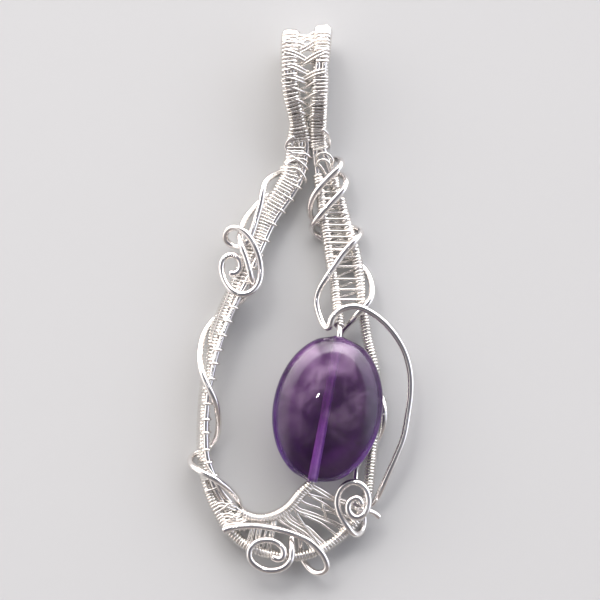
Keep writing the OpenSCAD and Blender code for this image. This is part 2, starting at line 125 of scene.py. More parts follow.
# Wave down the left side, from behind the band to behind the inner frame: (x, y, level)
WAVE = [
    (-4.1, 14.6, 0), (-5.1, 14.0, 0), (-6.1, 13.0, 0.25), (-7.3, 11.5, 0.95), (-7.9, 10.1, 1.55),
    (-8.1, 8.8, 2.25), (-7.8, 7.4, 2.85), (-7.3, 6.1, 3), (-6.9, 4.7, 3.1), (-6.55, 3.3, 2.95),
    (-6.45, 1.9, 1.75), (-7.5, 0.6, 0.6), (-8.8, -0.4, 0.05), (-10.0, -1.2, 0), (-11.2, -2.0, 0.05),
    (-12.25, -3.0, 0.25), (-13.05, -4.3, 0.85), (-13.4, -5.8, 1.55), (-13.5, -7.4, 2.15),
    (-13.3, -8.9, 2.8), (-12.8, -10.3, 3.2), (-12.1, -11.7, 3.3), (-11.4, -13.1, 3.05),
    (-11.1, -14.6, 2.45), (-11.0, -16.2, 1.65), (-11.2, -17.8, 0.85), (-11.8, -19.2, 0.25),
    (-12.8, -20.1, 0), (-14.0, -20.6, 0.1), (-14.85, -21.2, 0.7), (-14.7, -22.0, 1.75),
    (-13.7, -22.6, 2.7), (-12.4, -23.2, 3.15), (-11.0, -24.0, 3.05), (-9.7, -25.1, 2.25),
    (-8.7, -26.4, 1.2), (-8.2, -27.6, 0.35), (-8.1, -28.7, 0),
]
# Scrolls along the bottom, from a cut end on the outer frame and round the frame: (x, y, level)
FOOT = [
    (-10.3, -30.85, 1.95), (-9.7, -30.6, 2), (-8.7, -30.35, 2), (-7.2, -30.2, 2), (-5.0, -30.3, 2),
    (-2.8, -30.7, 2.1), (-0.7, -31.3, 2.15), (1.1, -32.1, 2.25), (2.5, -33.3, 2.25), (3.4, -34.6, 2.1),
    (3.7, -35.8, 1.85), (3.1, -36.6, 1.55), (2.0, -36.7, 1.15), (0.9, -35.9, 0.45), (0.25, -34.7, 0),
    (0.1, -33.4, 0.05),
    (-0.05, -32.0, 0.35), (-0.65, -31.3, 0.7), (-1.15, -32.0, 1.15), (-1.05, -33.3, 1.75),
    (-1.2, -34.7, 2), (-2.1, -35.8, 2), (-3.8, -36.3, 1.85), (-5.5, -35.9, 1.75), (-6.7, -34.8, 1.85),
    (-6.8, -33.4, 2), (-5.9, -32.4, 1.9), (-4.4, -32.1, 1.85), (-3.0, -32.5, 1.85), (-2.2, -33.4, 1.95),
    (-2.2, -34.4, 2), (-2.9, -34.8, 2), (-3.7, -34.4, 2),
]
# Long arc: a turn round the right arm, the curl above the bead, then the open arc: (x, y, level)
ARC = [
    (3.6, 19.0, 0.15), (4.6, 19.4, 0.25), (5.4, 19.3, 1.05), (5.6, 18.6, 1.9), (5.0, 17.8, 2.3),
    (3.9, 16.8, 2.25), (2.8, 15.6, 2.15), (1.8, 14.3, 1.75), (1.38, 13.1, 1.2), (1.35, 12.0, 0.6),
    (1.85, 11.0, 0.1), (3.4, 10.5, 0), (5.7, 10.3, 0), (7.4, 10.1, 0.15), (8.3, 9.4, 1.05), (7.4, 8.3, 2),
    (6.1, 6.9, 2), (4.8, 5.1, 2.05), (3.5, 3.2, 2), (2.5, 1.5, 1.75), (2.2, 0.0, 1.65), (2.5, -1.5, 1.9),
    (3.0, -2.8, 2.25), (3.55, -3.6, 2.6), (4.1, -3.25, 2.95), (4.25, -2.3, 3.15), (5.0, -1.3, 3.2),
    (6.2, -0.7, 3.2), (7.7, -0.6, 3.15), (9.4, -1.3, 2.95), (11.3, -2.7, 2.7), (13.0, -4.7, 2.45),
    (14.2, -6.9, 2.15), (14.85, -9.4, 2), (14.95, -12.1, 1.85), (14.6, -15.0, 1.75), (14.05, -18.1, 1.75),
    (13.1, -20.6, 1.7), (12.05, -23.0, 1.55), (11.1, -25.2, 1.25), (10.45, -26.7, 0.7), (9.7, -27.7, 0.1),
    (8.7, -28.0, 0), (7.7, -27.6, 0.25), (7.25, -27.45, 0.95), (7.6, -27.75, 1.75), (8.4, -28.05, 2.05),
    (9.3, -28.2, 1.85), (10.1, -28.55, 1.5), (10.7, -29.1, 1.3),
]
# Second wire on the right arm, which runs on behind the bead and round its right edge: (x, y, level)
RETURN = [
    (4.7, 17.6, 0), (5.8, 17.2, 0.6), (6.3, 16.3, 1.5), (5.9, 15.2, 2.05), (4.9, 14.1, 2.15),
    (3.6, 12.7, 2.15), (2.45, 11.4, 1.9), (1.7, 10.5, 1.3), (1.65, 9.7, 0.5), (2.6, 9.0, 0),
    (4.7, 7.6, 0), (6.9, 6.1, 0), (8.4, 4.9, 0.05), (9.4, 3.5, 0.45), (9.8, 1.9, 1.2), (9.6, 0.5, 1.85),
    (8.8, -0.6, 2.05), (7.8, -1.6, 1.9), (7.0, -2.5, 1.5), (6.2, -3.35, 1.05), (5.6, -4.2, 0.6),
    (5.45, -5.4, 0.25), (6.0, -6.9, 0.1), (7.0, -8.3, 0.15), (8.4, -9.7, 0.05), (9.7, -11.0, 0),
    (10.8, -12.4, 0.1), (11.35, -13.8, 0.6), (11.47, -15.3, 0.95), (11.3, -16.9, 0.7), (10.7, -18.5, 0.1),
    (9.75, -19.7, 0), (8.7, -20.7, 0.05), (7.95, -21.9, 0.15), (7.65, -23.2, 0.4), (7.6, -24.3, 0.7),
]
# Scroll at the lower right, hooked round the outer frame: (x, y, level)
CORNER = [
    (8.7, -29.3, 0), (8.7, -30.5, 0.25), (8.15, -31.4, 0.95), (7.3, -31.4, 1.7), (6.5, -30.4, 2.05),
    (5.7, -29.2, 2.1), (5.1, -27.8, 2.15), (5.0, -26.4, 2.25), (5.6, -25.0, 2.45), (6.8, -24.2, 2.6),
    (8.1, -24.4, 2.7), (9.0, -25.4, 2.8), (9.25, -26.9, 2.85), (8.8, -28.3, 2.9), (7.7, -29.0, 2.95),
    (6.7, -28.5, 2.95), (6.4, -27.4, 2.95), (6.8, -26.5, 2.95), (7.5, -26.2, 2.95), (8.1, -26.5, 2.95),
    (8.25, -27.1, 3.0),
]
# Neck binding, over the left arm, down between the arms, behind the right arm and up: (x, y, z)
NECK = [
    (-0.8, 22.3, 3.8), (-1.55, 21.85, 3.45), (-2.0, 21.15, 2.85), (-1.85, 20.5, 2.75), (-1.25, 20.15, 2.98),
    (-0.4, 20.05, 3.0), (0.4, 20.0, 3.03), (1.05, 19.9, 2.98), (1.42, 19.55, 2.45), (1.41, 19.35, 1.7),
    (1.45, 19.5, 1.0), (1.9, 20.05, 0.55), (2.8, 20.6, 0.52), (3.6, 20.85, 0.8), (4.0, 21.05, 1.6),
    (4.0, 21.5, 2.6), (3.97, 22.1, 3.5), (3.65, 22.75, 4.35), (3.0, 23.15, 4.75),
]

# Heights at which a tick of fine wire crosses all three wires of the band
TICKS = [16.1, 14.4, 12.7, 10.8, 8.6, 6.75, 4.9, 3.0, 1.2, -0.4, -2.3, -4.2, -6.1, -8.0, -10.05,
         -11.8, -13.4, -15.5, -17.3, -19.6, -21.3, -23.2]


# ---------------------------------------------------------------- routes
def curve(rows, steps=10):
    """A smooth route through the rows of a table, with a number of points from row to row."""
    a = np.array([r[:3] for r in rows], float)
    p = np.vstack([a[:1], a, a[-1:]])
    t = (np.arange(steps) / steps)[:, None]
    parts = []
    for p0, p1, p2, p3 in zip(p, p[1:], p[2:], p[3:]):
        parts.append(0.5 * (2 * p1 + (p2 - p0) * t + (2 * p0 - 5 * p1 + 4 * p2 - p3) * t ** 2
                            + (3 * p1 - p0 - 3 * p2 + p3) * t ** 3))
    return np.vstack(parts + [a[-1:]])


def height(level):
    """Height of a scroll wire, from its level among the wires that it crosses."""
    if level < 1:
        return UNDER_Z + level * (FRAME_Z - UNDER_Z)
    if level < 2:
        return FRAME_Z + (level - 1) * (OVER_Z - FRAME_Z)
    return OVER_Z + (level - 2) * LEVEL_STEP


def raised(rows):
    """Rows of a scroll's table with heights in the place of levels."""
    return [(x, y, height(level)) for x, y, level in rows]


def lengths(p):
    """Distance of each point along a line of points."""
    return np.concatenate([[0], np.cumsum(np.linalg.norm(np.diff(p, axis=0), axis=1))])


def along(p, at, s=None):
    """Places at the given distances along a line of points."""
    s = lengths(p) if s is None else s
    return np.stack([np.interp(at, s, p[:, k]) for k in range(p.shape[1])], axis=1)


def even(p, step=STEP):
    """Points at even distances along the line."""
    total = lengths(p)[-1]
    return along(p, np.linspace(0, total, max(3, int(round(total / step)) + 1)))


def soften(p, passes=SOFTENING):
    """The line with its bends eased and its ends where they were."""
    p = p.copy()
    for _ in range(passes):
        p[1:-1] = (p[:-2] + 2 * p[1:-1] + p[2:]) / 4
    return p


def route(rows):
    """The path of a wire through the rows of a table."""
    return soften(even(curve(rows)))


def unit(v):
    """Vectors of length 1."""
    return v / np.linalg.norm(v, axis=-1, keepdims=True)


def directions(p):
    """Direction of a line at each of its points."""
    return unit(np.gradient(p, axis=0))


def frames(p, start=(0, 0, 1)):
    """Direction of a route at each point and two directions across it that never twist."""
    t = directions(p)
    s = np.empty_like(p)
    v = np.array(start, float)
    for i, d in enumerate(t):
        v = v - v.dot(d) * d
        v /= np.linalg.norm(v)
        s[i] = v
    return t, s, np.cross(t, s)


def nearest(p, place):
    """Number of the point nearest to a place."""
    return int(np.argmin(np.linalg.norm(p - np.array(place, float), axis=1)))


def piece_of(p, first, last):
    """The stretch of a route between the points nearest to two places."""
    return p[nearest(p, first):nearest(p, last) + 1]


# ---------------------------------------------------------------- meshes
# Domed end of a wire, from the wire outwards: share of its radius, share of the dome's height
DOME = [(0.98, 0.10), (0.80, 0.70), (0.42, 1.0)]
DOME_HEIGHT = 0.35


class Shape:
    """Collects tubes into one mesh."""

    def __init__(self):
        self.verts, self.faces, self.count = [], [], 0

    def add(self, verts, faces):
        self.verts.append(verts)
        self.faces.extend([[i + self.count for i in f] for f in faces])
        self.count += len(verts)

    def tube(self, p, r, sides, start=(0, 0, 1)):
        """A round wire along points p, with slightly domed ends."""
        t, s, u = frames(p, start)
        head = np.array([p[0] - t[0] * r * DOME_HEIGHT * k for _, k in DOME[::-1]])
        tail = np.array([p[-1] + t[-1] * r * DOME_HEIGHT * k for _, k in DOME])
        at = np.vstack([head, p, tail])
        closing = [r * c for c, _ in DOME]
        radius = np.concatenate([closing[::-1], np.full(len(p), r), closing])
        caps = len(DOME)
        side = np.vstack([np.repeat(s[:1], caps, 0), s, np.repeat(s[-1:], caps, 0)])
        rise = np.vstack([np.repeat(u[:1], caps, 0), u, np.repeat(u[-1:], caps, 0)])
        a = 2 * math.pi * np.arange(sides) / sides
        rings = at[:, None] + radius[:, None, None] * (
            np.cos(a)[None, :, None] * side[:, None] + np.sin(a)[None, :, None] * rise[:, None])
        n = len(at)
        faces = []
        for i in range(n - 1):
            for j in range(sides):
                k = (j + 1) % sides
                faces.append([i * sides + j, i * sides + k, (i + 1) * sides + k, (i + 1) * sides + j])
        faces.append(list(range(sides))[::-1])
        faces.append([(n - 1) * sides + j for j in range(sides)])
        self.add(rings.reshape(-1, 3), faces)
        return self

    def build(self, name, material, slot, *nodes):
        """The piece: its mesh in metres, its material and the nodes that it replaces; slot is not used."""
        mesh = bpy.data.meshes.new(name)
        mesh.from_pydata((np.vstack(self.verts) * MM).tolist(), [], self.faces)
        mesh.polygons.foreach_set("use_smooth", [True] * len(mesh.polygons))
        mesh.materials.append(material)
        mesh.update()
        piece = bpy.data.objects.new(name, mesh)
        bpy.context.scene.collection.objects.link(piece)
        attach(piece, "root")
        if nodes:
            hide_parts(*nodes)
        return piece


def oval(turn, half, radius):
    """Place on a stadium round two wires side by side, for a number of turns."""
    straight, arc = 2 * half, math.pi * radius
    q = (turn % 1.0) * 2 * (straight + arc)
    angle = (np.clip(q, 0, arc) + np.clip(q - arc - straight, 0, arc)) / radius - math.pi / 2
    middle_x = half - np.clip(q - arc, 0, straight) + np.clip(q - 2 * arc - straight, 0, straight)
    return middle_x + radius * np.cos(angle), radius * np.sin(angle)


WANDER = 0.12          # how far the turns of a winding stray, as a share of their pitch
WANDER_LENGTH = 126.0  # points to the longest wave of the wander


def wander(n, rough, seed):
    """A slow, repeatable wander about zero for n numbers."""
    k = np.arange(n)
    rng = np.random.default_rng(seed)
    out = np.zeros(n)
    for octave in (1, 2.3, 4.1):
        out += np.sin(2 * math.pi * k * octave / WANDER_LENGTH + rng.uniform(0, 6.28)) / octave
    return rough * out


def winding(shape, p, pitches, halves=(), start=(0, 0, 1), seed=1, per_turn=SINGLE_TURN):
    """Fine wire wound round a route, or round two wires a half distance either side of it.
    pitches and halves: rows of (share of the length, pitch or half distance there)."""
    t, s, u = frames(p, start)
    dist = lengths(p)
    share, pitch = zip(*pitches)
    turn_at = np.concatenate([[0], np.cumsum(np.diff(dist) / np.interp(dist[1:] / dist[-1], share, pitch))])
    n = int(turn_at[-1] * per_turn)
    turn = np.linspace(0, turn_at[-1], n)
    at = np.clip(np.interp(turn, turn_at, dist) + wander(n, WANDER * pitch[0], seed), 0, dist[-1])
    mid, side, rise = along(p, at, dist), along(s, at, dist), along(u, at, dist)
    if halves:
        x, y = oval(turn, np.interp(at / dist[-1], *zip(*halves)), WOUND_R)
    else:
        x, y = WOUND_R * np.cos(2 * math.pi * turn), WOUND_R * np.sin(2 * math.pi * turn)
    shape.tube(mid + x[:, None] * side + y[:, None] * rise, FINE_R, WOUND_SIDES, start=t[0])
    return shape


# ---------------------------------------------------------------- materials
# Sockets of the mix node for colours
FACTOR, FIRST, SECOND, RESULT = 0, 6, 7, 2


def shader(name, **values):
    """A material, its nodes and its shader, with the shader's inputs set."""
    material = bpy.data.materials.new(name)
    material.use_nodes = True
    bsdf = material.node_tree.nodes["Principled BSDF"]
    for key, value in values.items():
        bsdf.inputs[key.replace("_", " ")].default_value = value
    return material, material.node_tree, bsdf


def add_node(tree, kind, links=(), **values):
    """A node with its inputs set or linked: links are (input, output socket)."""
    node = tree.nodes.new("ShaderNode" + kind)
    for key, value in values.items():
        if key in node.inputs.keys():
            node.inputs[key].default_value = value
        else:
            setattr(node, key, value)
    for socket, source in links:
        tree.links.new(source, node.inputs[socket])
    return node


def mapped(tree, source, from_min, from_max, to_min=0.0, to_max=1.0, **more):
    """A number carried from one range to another, and held within it."""
    ends = {"From Min": from_min, "From Max": from_max, "To Min": to_min, "To Max": to_max}
    return add_node(tree, "MapRange", [("Value", source)], **ends, **more).outputs["Result"]


def cosine(tree, source, direction):
    """How far a vector lies along a direction."""
    node = add_node(tree, "VectorMath", operation="DOT_PRODUCT")
    tree.links.new(source, node.inputs[0])
    node.inputs[1].default_value = direction
    return node.outputs["Value"]


def product(tree, first, second):
    """The product of two numbers."""
    return add_node(tree, "Math", [(0, first), (1, second)], operation="MULTIPLY").outputs[0]


def ramp_node(tree, source, *stops):
    """The colour of a number on a ramp of stops: position, colour."""
    node = add_node(tree, "ValToRGB", [("Fac", source)])
    elements = node.color_ramp.elements
    for k, (position, colour) in enumerate(stops):
        element = elements[k] if k < 2 else elements.new(position)
        element.position, element.color = position, (*colour, 1)
    return node.outputs["Color"]


def tinted(tree, first, second):
    """The product of two colours."""
    mix = add_node(tree, "Mix", [(FIRST, first), (SECOND, second)], data_type="RGBA", blend_type="MULTIPLY")
    mix.inputs[FACTOR].default_value = 1.0
    return mix.outputs[RESULT]


def silver(name, colour, roughness):
    """Bright silver, a little duller in places."""
    material, tree, bsdf = shader(name, Metallic=1.0, Base_Color=(*colour, 1))
    place = add_node(tree, "TexCoord").outputs["Object"]
    patches = add_node(tree, "TexNoise", [("Vector", place)], Scale=420.0, Detail=3.0).outputs["Fac"]
    uneven = mapped(tree, patches, 0.3, 0.7, roughness - 0.05, roughness + 0.06)
    tree.links.new(uneven, bsdf.inputs["Roughness"])
    return material


WIRE = silver("bright_silver_wire", (0.90, 0.87, 0.85), 0.16)
WOUND = silver("wound_silver_wire", (0.87, 0.84, 0.80), 0.22)

# ---------------------------------------------------------------- frame wires
def shifted(rows, dx):
    """Rows moved sideways."""
    return [(r[0] + dx, r[1], r[2]) for r in rows]


def band_wire(distance):
    """Rows of a wire of the band, at a distance from the outer wire, across the leaning band."""
    rows = np.array([r[:3] for r in BAND])
    out = []
    for i, row in enumerate(BAND):
        h = unit(rows[min(i + 1, len(rows) - 1)] - rows[max(i - 1, 0)])
        level = unit(np.array([-h[1], h[0], 0]))
        rise = np.cross(h, level)
        lean = math.radians(row[3])
        across = math.cos(lean) * level + math.sin(lean) * rise * np.sign(rise[2])
        out.append(tuple(rows[i] + distance * across))
    return out


bead_axis = np.array([math.sin(BEAD_LEAN), math.cos(BEAD_LEAN), 0])
hole_mid = np.array(BEAD_AT) - (HOLE_SHIFT, 0, 0)
hole_rows = [tuple(hole_mid + share * BEAD_HALF[1] * bead_axis)
             for share in (-1.01, -0.85, -0.5, 0, 0.5, 0.85, 1.01)]

outer = route(shifted(BAIL_LEFT, -PAIR_HALF) + band_wire(0) + OUTER_FRAME
              + shifted(BAIL_RIGHT, PAIR_HALF)[::-1])
inner = route(shifted(BAIL_LEFT, PAIR_HALF) + band_wire(INNER_STEP) + INNER_FRAME
              + hole_rows + INNER_ARM + shifted(BAIL_RIGHT, -PAIR_HALF)[::-1])
middle = route(band_wire(MIDDLE_STEP) + MIDDLE_FOOT)

for name, p, node in (("outer_frame_wire", outer, "outer_wire"), ("inner_frame_wire", inner, "inner_wire"),
                      ("middle_frame_wire", middle, "middle_wire")):
    Shape().tube(p, BASE_R, BASE_SIDES).build(name, WIRE, "wire", node)

# Scrolls: name, table, node
for name, rows, node in (
        ("side_scroll_wire", SIDE_SCROLL, "side_scroll"), ("wave_scroll_wire", WAVE, "wave_wire"),
        ("foot_scroll_wire", FOOT, "foot_scroll"), ("long_arc_wire", ARC, "arc_wire"),
        ("return_scroll_wire", RETURN, "return_wire"), ("corner_scroll_wire", CORNER, "corner_scroll")):
    Shape().tube(route(raised(rows)), SCROLL_R, SCROLL_SIDES).build(name, WIRE, "wire", node)

# ---------------------------------------------------------------- wound wires
# Windings round one wire: name, the stretch that is wound, pitch, seed, node
for name, p, pitch, seed, node in (
        ("frame_winding", piece_of(outer, OUTER_FRAME[0], (4.35, 17.2, 1.98)), 0.42, 3, "frame_coil"),
        ("foot_winding", piece_of(inner, INNER_FRAME[1], (1.5, -24.45, 4.45)), 0.41, 4, "inner_coil"),
        ("arm_winding", piece_of(inner, INNER_ARM[0], (2.42, 17.3, 1.92)), 0.42, 5, "arm_coil")):
    winding(Shape(), p, [(0, pitch), (1, pitch)], seed=seed).build(name, WOUND, "wound_wire", node)

# Each half of the bail is wound round both its wires. The right half shows them bare for a short stretch.
left = route(BAIL_LEFT[1:] + [(-0.1, 21.9, 2.75)])
winding(Shape(), left, [(0, 0.5), (0.4, 0.44), (0.6, 0.45), (0.7, 0.52), (1, 0.5)],
        [(0, PAIR_HALF), (0.92, PAIR_HALF), (1, INNER_STEP / 2)], (1, 0, 0), seed=6,
        per_turn=PAIR_TURN).build("bail_winding_left", WOUND, "wound_wire", "bail_coil_left")
right = route(BAIL_RIGHT[1:] + [(2.47, 21.8, 2.75), (2.66, 20.7, 2.5)])
front = len(right) // 2
bare_from, bare_to = (front + nearest(right[front:], (2.85, y, 7.4)) for y in (31.7, 30.1))
bail_right = Shape()
for part, pitches, end_half, seed in ((right[:bare_from], [(0, 0.46), (1, 0.44)], PAIR_HALF, 7),
                                      (right[bare_to:], [(0, 0.45), (1, 0.45)], 0.58, 8)):
    winding(bail_right, part, pitches, [(0, PAIR_HALF), (0.85, PAIR_HALF), (1, end_half)], (1, 0, 0),
            seed=seed, per_turn=PAIR_TURN)
bail_right.build("bail_winding_right", WOUND, "wound_wire", "bail_coil_right")

WEAVE_STEPS = 24       # points from row to row of the band's table
WEAVE_PITCH = 0.46
WEAVE_START = 0.4      # distance down the band
WEAVE_END = 24.0       # distance below the frame's middle, from where one wire alone is wound


def band_weave(shape):
    """Fine wire round the outer two wires of the band, and round all three wherever a tick crosses."""
    a = curve(band_wire(0) + OUTER_FRAME[:1], WEAVE_STEPS)
    b = curve(band_wire(INNER_STEP) + INNER_FRAME[:1], WEAVE_STEPS)
    t = directions(a)
    c = b - a
    c = unit(c - np.sum(c * t, axis=1, keepdims=True) * t)
    n = np.cross(t, c)
    n *= np.sign(n[:, 2:3])
    dist = lengths(a)
    ticks = [float(np.interp(-y, -b[:, 1], dist)) for y in TICKS]
    stops = [WEAVE_START] + ticks + [float(np.interp(WEAVE_END, -a[:, 1], dist))]
    starts, wide = [], []
    for lo, hi in zip(stops, stops[1:]):
        number = max(2, int(round((hi - lo) / WEAVE_PITCH)))
        for k in range(number):
            starts.append(lo + (hi - lo) * k / number)
            wide.append(k == 0 and lo > 1)
    starts.append(stops[-1])
    points = []
    f = np.arange(BAND_TURN) / BAND_TURN
    for k in range(len(starts) - 1):
        half = (INNER_STEP if wide[k] else MIDDLE_STEP) / 2
        x, y = oval(f + 0.5, half, WOUND_R)
        at = starts[k] + (starts[k + 1] - starts[k]) * f
        mid, cc, nn = along(a, at, dist), along(c, at, dist), along(n, at, dist)
        points.append(mid + (x + half)[:, None] * cc + y[:, None] * nn)
    shape.tube(np.vstack(points), FINE_R, WOUND_SIDES, start=(0, 1, 0))
    below = piece_of(outer, (-12.8, -WEAVE_END, FRAME_Z), OUTER_FRAME[0])
    winding(shape, below, [(0, 0.43), (1, 0.43)], seed=9)
    return shape


band_weave(Shape()).build("band_weave", WOUND, "wound_wire", "left_coil")

neck_binding = Shape().tube(route(NECK), NECK_R, NECK_SIDES, start=(0, 1, 0))
neck_binding.build("neck_binding", WIRE, "wire", "neck_wrap")

# ---------------------------------------------------------------- strands between the wound wires
# Lacing of the bail, in front: height where a strand leaves the left half, where it meets the middle
# and where it reaches the right half, and the half that it passes over
BAIL_LACING = [
    (35.6, 35.2, 34.8, "left"), (34.4, 33.8, 33.2, "left"), (32.8, 32.1, 31.6, "left"),
    (31.1, 30.5, 30.1, "left"), (29.7, 29.3, 28.9, "left"), (28.3, 27.9, 27.5, "left"),
    (26.9, 26.5, 26.1, "left"), (25.4, 25.1, 24.8, "left"),
    (34.2, 35.2, 36.3, "right"), (32.8, 33.6, 34.6, "right"), (31.0, 31.8, 32.7, "right"),
    (29.3, 29.7, 30.3, "right"), (28.0, 28.5, 29.2, "right"), (26.8, 27.2, 27.7, "right"),
    (25.5, 25.9, 26.4, "right"), (24.1, 24.5, 25.0, "right"),
]
# Ladder between the windings of the right arm: height of each rung of fine wire
ARM_RUNGS = [16.6, 15.8, 14.9, 14.0, 13.1, 12.1, 11.25, 10.4, 9.6, 8.8, 8.0, 7.1, 6.1, 4.8, 3.1, 1.7, 0.3,
             -0.9]
# Strands at the lower right, from the winding below the bead to the frame's winding: number of wires side by
# side, then x, y, z
FAN = [
    (2, (1.0, -24.6, 4.35), (1.7, -24.75, 4.4), (4.42, -26.48, 3.0), (6.6, -27.3, 2.3), (8.9, -27.8, 2.0)),
    (1, (0.6, -25.2, 4.1), (1.23, -25.8, 4.0), (2.9, -26.3, 3.3), (4.6, -26.9, 2.6), (6.8, -27.8, 2.2),
     (8.4, -28.4, 2.0)),
    (1, (0.5, -25.3, 4.0), (1.35, -26.0, 3.9), (3.31, -27.22, 2.9), (4.8, -28.3, 2.4), (6.6, -29.2, 2.1),
     (7.7, -29.7, 2.0)),
    (1, (-0.1, -26.2, 3.7), (0.37, -26.9, 3.5), (1.84, -27.55, 2.9), (3.31, -28.15, 2.6), (4.8, -28.7, 2.3),
     (7.0, -30.2, 2.0)),
    (2, (-0.9, -27.1, 3.2), (-0.3, -28.0, 3.0), (1.47, -28.69, 2.5), (3.31, -29.43, 2.2), (5.0, -30.2, 2.0),
     (6.4, -31.0, 1.9)),
    (1, (-0.9, -27.2, 3.0), (0.0, -28.45, 2.8), (1.5, -29.3, 2.4), (2.82, -29.95, 2.2), (4.29, -31.05, 2.1),
     (5.3, -31.9, 1.9)),
    (1, (-1.0, -27.3, 2.9), (-0.37, -28.69, 2.7), (0.74, -30.41, 2.3), (2.09, -32.13, 2.2),
     (3.0, -33.4, 1.9)),
    (3, (-2.2, -28.4, 2.4), (-1.3, -29.5, 2.4), (-0.37, -30.1, 2.2), (1.1, -31.05, 2.1), (2.5, -32.4, 2.1),
     (3.5, -33.3, 1.9)),
    (2, (-3.2, -28.8, 2.2), (-2.4, -29.6, 2.3), (-1.0, -30.5, 2.1), (0.6, -31.9, 2.0), (1.9, -33.7, 1.9)),
    (1, (2.95, -26.6, 2.5), (3.1, -27.3, 3.0), (3.3, -28.2, 2.85), (3.55, -29.2, 2.3), (3.7, -30.0, 1.6)),
]
# Strands at the lower left, between the frame's winding and the inner one, written the same way
CORNER_WEAVE = [
    (1, (-13.0, -25.8, 1.8), (-12.7, -25.6, 2.5), (-11.7, -25.3, 2.75), (-11.0, -25.0, 2.8),
     (-10.7, -25.0, 2.2)),
    (2, (-11.5, -27.6, 2.1), (-10.5, -27.4, 2.6), (-9.5, -27.7, 2.6), (-8.6, -28.0, 2.1)),
    (1, (-11.1, -28.4, 2.1), (-10.2, -27.8, 2.7), (-9.4, -27.2, 2.9), (-9.0, -27.4, 2.3)),
    (2, (-10.7, -29.2, 2.1), (-9.8, -28.8, 2.6), (-8.9, -29.1, 2.6), (-8.0, -28.6, 2.1)),
    (1, (-10.5, -29.6, 2.1), (-9.6, -29.5, 2.5), (-8.7, -28.9, 2.7), (-7.8, -28.6, 2.1)),
    (2, (-10.1, -30.1, 2.0), (-9.2, -29.8, 2.4), (-8.0, -29.7, 2.4), (-7.0, -29.1, 2.0)),
    (2, (-6.2, -29.3, 1.9), (-6.4, -30.6, 2.1), (-6.7, -31.9, 2.1), (-7.0, -33.2, 1.9)),
    (2, (-5.2, -29.4, 1.9), (-5.5, -30.6, 2.1), (-5.7, -31.9, 2.1), (-5.9, -33.6, 1.9)),
    (1, (-4.4, -29.3, 1.9), (-4.5, -30.6, 2.1), (-4.8, -31.9, 2.1), (-5.1, -33.8, 1.9)),
    (2, (-3.5, -29.0, 2.1), (-3.6, -30.4, 2.2), (-3.9, -31.9, 2.1), (-4.3, -34.0, 1.9)),
]
# Loops of fine wire below the neck, and loose ends there and elsewhere, written the same way
NECK_LOOPS = [
    (1, (2.2, 19.1, 2.3), (2.3, 19.75, 2.85), (2.9, 20.1, 3.05), (3.6, 20.05, 3.0), (4.2, 19.6, 2.85),
     (4.45, 18.9, 2.6), (4.3, 18.2, 2.1)),
    (1, (2.1, 18.4, 2.3), (2.5, 19.0, 2.8), (3.1, 19.25, 2.9), (3.75, 19.0, 2.8), (4.1, 18.4, 2.6),
     (4.2, 17.8, 2.2)),
    (1, (2.3, 18.9, 2.5), (2.75, 18.4, 2.6), (3.1, 17.9, 2.5), (3.5, 17.3, 2.3)),
    (1, (-1.6, 20.0, 2.6), (-0.8, 19.5, 3.0), (0.4, 18.6, 2.9), (1.0, 18.0, 2.4), (0.7, 17.6, 1.4)),
    (1, (-2.2, 18.6, 2.0), (-1.4, 18.9, 2.8), (-0.2, 19.3, 3.0), (0.8, 19.2, 2.7), (1.1, 18.8, 2.0)),
    (1, (-1.5, 18.2, 2.4), (-0.6, 18.1, 2.8), (0.2, 17.5, 2.75), (0.7, 16.7, 2.5), (0.8, 16.2, 1.9)),
    (1, (-1.2, 19.2, 2.8), (-1.6, 19.35, 2.6), (-1.95, 19.45, 2.2)),
    (1, (-1.4, 18.7, 2.7), (-1.9, 18.85, 2.4), (-2.25, 18.95, 2.0)),
    (1, (-1.7, 18.0, 2.6), (-2.2, 18.2, 2.3), (-2.6, 18.3, 1.9)),
    (1, (-1.2, 28.5, 7.2), (-1.9, 28.9, 7.0), (-2.4, 29.4, 6.8)),
    (1, (6.9, -29.3, 2.3), (7.2, -29.7, 2.7), (7.5, -30.1, 2.8)),
]


STRAND_STEP, STRAND_SOFTENING = 0.12, 3


def strand(shape, number, *rows):
    """Fine wires side by side, through the rows."""
    p = soften(even(curve(rows), STRAND_STEP), STRAND_SOFTENING)
    t = directions(p)
    side = unit(np.stack([-t[:, 1], t[:, 0], np.zeros(len(t))], axis=1))
    for k in range(number):
        shift = (k - (number - 1) / 2) * (2 * FINE_R + 0.01)
        shape.tube(p + shift * side, FINE_R, STRAND_SIDES)


CREST_ROW = 7          # row of the bail's tables that is its crest
DOUBLE_ABOVE = 29      # height from which the lacing's strands are double


def bail_front(rows, y):
    """x and z of a half of the bail in front, at a height."""
    xs, ys, zs = zip(*rows[:CREST_ROW - 1:-1])
    return float(np.interp(y, ys, xs)), float(np.interp(y, ys, zs))


bail_lacing = Shape()
reach = PAIR_HALF + WOUND_R
for y_left, y_mid, y_right, over in BAIL_LACING:
    (xl, zl), (xr, zr) = bail_front(BAIL_LEFT, y_left), bail_front(BAIL_RIGHT, y_right)
    sign = 1 if over == "left" else -1
    slope = (y_right - y_left) / (xr - xl)
    strand(
        bail_lacing, 2 if y_mid > DOUBLE_ABOVE else 1,
        (xl - reach * 0.6, y_left - slope * reach, zl + sign * WOUND_R),
        (xl + PAIR_HALF, y_left, zl + sign * (WOUND_R + 0.12)),
        (xl + reach + 0.1, y_left + slope * 0.8, zl + sign * 0.42),
        ((xl + xr) / 2, y_mid, (zl + zr) / 2),
        (xr - reach - 0.1, y_right - slope * 0.8, zr - sign * 0.42),
        (xr - PAIR_HALF, y_right, zr - sign * (WOUND_R + 0.12)),
        (xr + reach * 0.6, y_right + slope * reach, zr - sign * WOUND_R))
